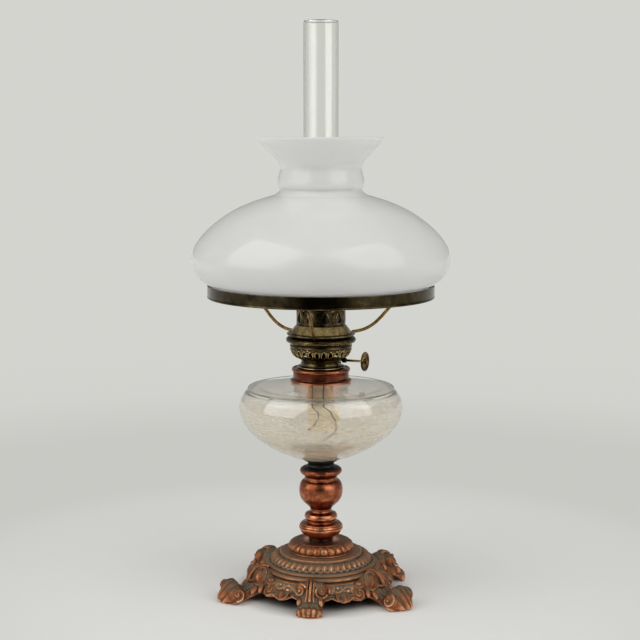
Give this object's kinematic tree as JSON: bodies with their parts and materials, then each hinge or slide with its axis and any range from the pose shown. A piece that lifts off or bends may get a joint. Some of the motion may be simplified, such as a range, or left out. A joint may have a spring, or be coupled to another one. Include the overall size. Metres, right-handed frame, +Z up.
{
  "type": "kerosene table lamp",
  "caption": "Table lamp with a cast footed base, turned stem, glass font, round-wick burner with a knob, ringed shade holder, opal glass shade and clear chimney.",
  "frame": {"origin": "on the table, on the lamp's axis, at the level of the undersides of the three large feet", "axes": "+Z up along the stem; -Y points out over one small foot and one arm of the shade holder"},
  "size_m": [0.271, 0.271, 0.601],
  "materials": {
    "patinated_casting": "bronzed casting with copper worn through on the edges and grey-green dust in the recesses",
    "copper_stem": "copper-bronzed, glossy and worn bright on the crests",
    "steel_hardware": "plain steel, dull",
    "black_cup": "black lacquer, semi-gloss",
    "font_glass": "clear blown glass with a faint film of old oil",
    "plaster": "lamp plaster",
    "copper_collar": "reddish copper sheet, tarnished",
    "aged_brass": "thin spun brass, dark tarnish with bright rubbed edges",
    "dark_brass": "dark bronzed brass, satin",
    "cotton_wick": "woven cotton",
    "opal_glass": "white opal glass, fire-polished",
    "chimney_glass": "clear blown glass"
  },
  "bodies": {
    "stand": {"base_casting": "patinated_casting", "petal_ring": "patinated_casting", "stem_foot": "copper_stem", "stem_ball": "copper_stem", "stem_cap": "copper_stem", "base_washer": "steel_hardware", "base_nut": "steel_hardware", "tie_rod": "steel_hardware", "cup_nut": "steel_hardware", "font_cup": "black_cup", "font": "font_glass", "font_cement": "plaster", "collar_cement": "plaster", "font_collar": "copper_collar"},
    "burner": {"burner_base": "aged_brass", "air_basket": "aged_brass", "outer_wick_tube": "aged_brass", "draft_tube": "aged_brass", "spindle_bush": "aged_brass", "chimney_gallery": "aged_brass"},
    "wick_raiser": {"wick_spindle": "aged_brass", "feed_wheel_inner": "aged_brass", "feed_wheel_outer": "aged_brass", "wick_knob": "aged_brass"},
    "wick_band": {"wick": "cotton_wick"},
    "chimney_body": {"chimney": "chimney_glass"},
    "shade_holder": {"holder_hub": "aged_brass", "holder_arm_1": "aged_brass", "holder_arm_2": "aged_brass", "holder_arm_3": "aged_brass", "arm_rivet_1": "aged_brass", "arm_rivet_2": "aged_brass", "arm_rivet_3": "aged_brass", "shade_ring": "dark_brass"},
    "shade_body": {"shade": "opal_glass"}
  },
  "joints": [
    {"name": "burner_lift", "type": "slide", "parent": "stand", "child": "burner", "axis": [0, 0, 1], "range_m": [0, 0.095]},
    {"name": "knob_turn", "type": "hinge", "parent": "burner", "child": "wick_raiser", "pos_m": [0.00378, 0.01463, 0.24827], "axis": [-0.9681, 0.2504, 0], "range_deg": [-200, 100]},
    {"name": "wick_travel", "type": "slide", "parent": "burner", "child": "wick_band", "axis": [0, 0, 1], "range_m": [-0.012, 0.006]},
    {"name": "chimney_lift", "type": "slide", "parent": "burner", "child": "chimney_body", "axis": [0, 0, 1], "range_m": [0, 0.2]},
    {"name": "holder_lift", "type": "slide", "parent": "burner", "child": "shade_holder", "axis": [0, 0, 1], "range_m": [0, 0.33]},
    {"name": "shade_lift", "type": "slide", "parent": "shade_holder", "child": "shade_body", "axis": [0, 0, 1], "range_m": [0, 0.285]}
  ],
  "couplings": [
    {"joint": "wick_travel", "follows": "knob_turn", "m_per_rad": 0.0034}
  ]
}
